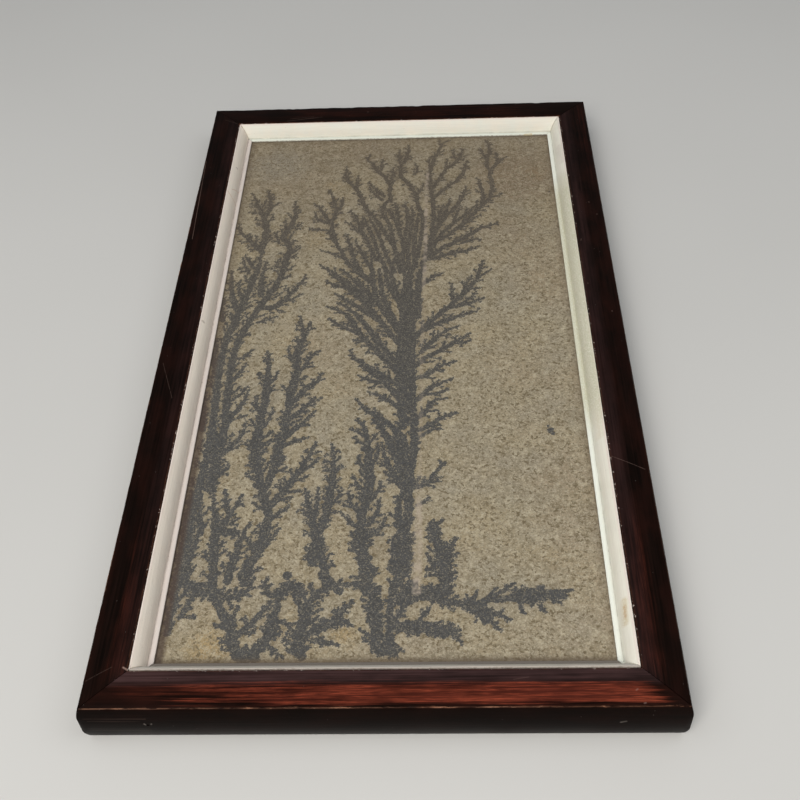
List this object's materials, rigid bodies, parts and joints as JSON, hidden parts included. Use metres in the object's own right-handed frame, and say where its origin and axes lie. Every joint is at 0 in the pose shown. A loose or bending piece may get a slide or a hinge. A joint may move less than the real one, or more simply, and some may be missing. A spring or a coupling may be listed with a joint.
{
  "type": "framed dendrite stone slab",
  "caption": "Thin stone slab with dark branching mineral dendrites, held in a dark lacquered mitred wooden frame with a cream painted sloping inner slip.",
  "frame": {"origin": "on the plane that the frame's back rests on, under the middle of the frame", "axes": "+X across the frame to the right, +Y along the frame towards its upper end, +Z out of the picture side"},
  "size_m": [0.2432, 0.4352, 0.023],
  "materials": {
    "lacquered_wood": "glossy dark red-brown lacquer, worn",
    "cream_paint": "cream painted, satin",
    "dendrite_stone": "fine granular, matte, with dark dendrites",
    "hardboard": "raw hardboard",
    "steel_wire": "dull"
  },
  "bodies": {
    "root": {"frame_rail_bottom": "lacquered_wood", "frame_rail_top": "lacquered_wood", "frame_rail_left": "lacquered_wood", "frame_rail_right": "lacquered_wood", "slip_bottom": "cream_paint", "slip_top": "cream_paint", "slip_left": "cream_paint", "slip_right": "cream_paint", "stone_slab": "dendrite_stone", "backing_board": "hardboard", "brad_bottom_1": "steel_wire", "brad_bottom_2": "steel_wire", "brad_top_1": "steel_wire", "brad_top_2": "steel_wire", "brad_left_1": "steel_wire", "brad_left_2": "steel_wire", "brad_left_3": "steel_wire", "brad_right_1": "steel_wire", "brad_right_2": "steel_wire", "brad_right_3": "steel_wire"}
  },
  "joints": []
}
